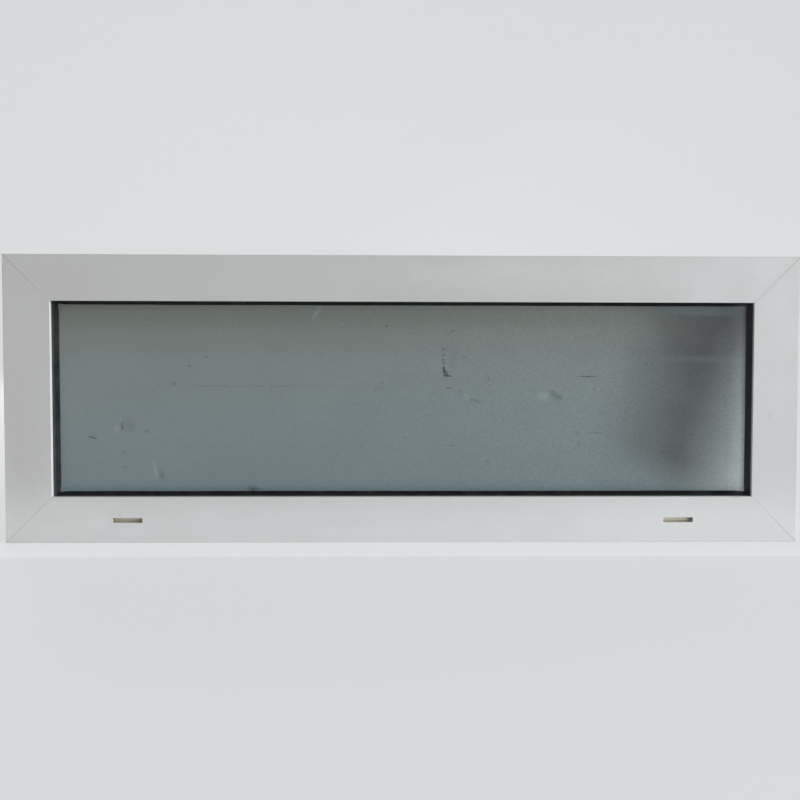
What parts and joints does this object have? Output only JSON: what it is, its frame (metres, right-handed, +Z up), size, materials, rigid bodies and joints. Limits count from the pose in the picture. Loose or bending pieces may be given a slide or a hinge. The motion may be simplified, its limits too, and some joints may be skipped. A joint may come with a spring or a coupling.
{
  "type": "fixed window",
  "caption": "Wide, low fixed window: mitred white thermally broken metal frame with drain slots, black gaskets and insulating glass under a matt film.",
  "frame": {"origin": "centre of the bounding box's underside, under the middle of the sill", "axes": "+X along the window's width, to the right seen from outdoors; +Y from outdoors towards the room; +Z up"},
  "size_m": [0.8, 0.065, 0.29],
  "materials": {
    "white_frame": "satin",
    "break_plastic": "matte",
    "gasket_rubber": "matte",
    "pane_glass": "gloss",
    "matt_film": "matte",
    "edge_seal": "matte",
    "spacer": "satin",
    "block_plastic": "matte",
    "cleat_metal": "satin"
  },
  "bodies": {
    "root": {"outer_shell_bottom": "white_frame", "inner_shell_bottom": "white_frame", "glazing_bead_bottom": "white_frame", "perimeter_strip_bottom": "break_plastic", "rebate_strip_bottom": "break_plastic", "outer_gasket_bottom": "gasket_rubber", "inner_gasket_bottom": "gasket_rubber", "outer_shell_top": "white_frame", "inner_shell_top": "white_frame", "glazing_bead_top": "white_frame", "perimeter_strip_top": "break_plastic", "rebate_strip_top": "break_plastic", "outer_gasket_top": "gasket_rubber", "inner_gasket_top": "gasket_rubber", "outer_shell_left": "white_frame", "inner_shell_left": "white_frame", "glazing_bead_left": "white_frame", "perimeter_strip_left": "break_plastic", "rebate_strip_left": "break_plastic", "outer_gasket_left": "gasket_rubber", "inner_gasket_left": "gasket_rubber", "outer_shell_right": "white_frame", "inner_shell_right": "white_frame", "glazing_bead_right": "white_frame", "perimeter_strip_right": "break_plastic", "rebate_strip_right": "break_plastic", "outer_gasket_right": "gasket_rubber", "inner_gasket_right": "gasket_rubber", "outer_pane": "pane_glass", "inner_pane": "pane_glass", "matt_film": "matt_film", "edge_seal": "edge_seal", "spacer": "spacer", "glazing_bridge_left": "block_plastic", "setting_block_left": "block_plastic", "glazing_bridge_right": "block_plastic", "setting_block_right": "block_plastic", "outer_cleat_bottom_left": "cleat_metal", "inner_cleat_bottom_left": "cleat_metal", "outer_cleat_bottom_right": "cleat_metal", "inner_cleat_bottom_right": "cleat_metal", "outer_cleat_top_right": "cleat_metal", "inner_cleat_top_right": "cleat_metal", "outer_cleat_top_left": "cleat_metal", "inner_cleat_top_left": "cleat_metal"}
  },
  "joints": []
}
